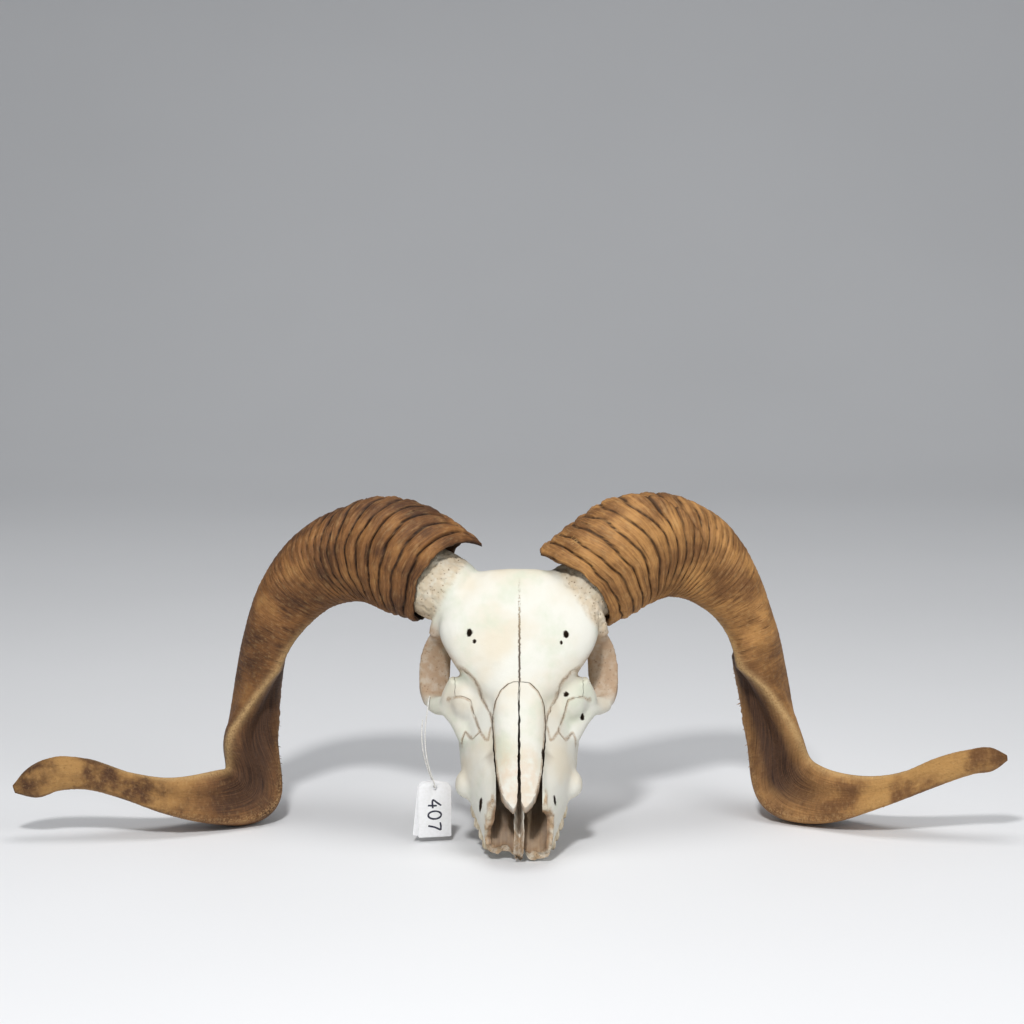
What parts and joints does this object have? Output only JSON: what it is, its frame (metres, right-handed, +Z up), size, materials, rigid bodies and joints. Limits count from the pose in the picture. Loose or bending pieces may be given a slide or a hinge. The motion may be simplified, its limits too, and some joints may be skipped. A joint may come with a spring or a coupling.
{
  "type": "ram skull with horns",
  "caption": "Ram's skull with curled, ridged horn sheaths, broken at the muzzle, resting nose down on the muzzle and the bends of its horns, with a string and card tags.",
  "frame": {"origin": "bottom centre of the skull and horns, on the floor that they rest on", "axes": "+X to the side along the spread of the horns, +Y back from the face, +Z up"},
  "size_m": [0.6505, 0.1714, 0.226],
  "materials": {
    "bone": "dry cleaned bone, matt with a faint sheen",
    "horn": "ridged keratin, satin, with dark cracks",
    "card": "smooth white card",
    "cotton": "twisted cotton string"
  },
  "bodies": {
    "root": {"cranium": "bone", "upper_jaw": "bone", "nasal_left": "bone", "nasal_right": "bone", "zygomatic_left": "bone", "zygomatic_right": "bone", "vomer": "bone", "horn_left_base": "horn", "horn_left_side": "horn", "horn_left_bend": "horn", "horn_left_tip": "horn", "horn_right_base": "horn", "horn_right_side": "horn", "horn_right_bend": "horn", "horn_right_tip": "horn", "tag_front": "card", "tag_back": "card", "tag_string": "cotton"}
  },
  "joints": []
}
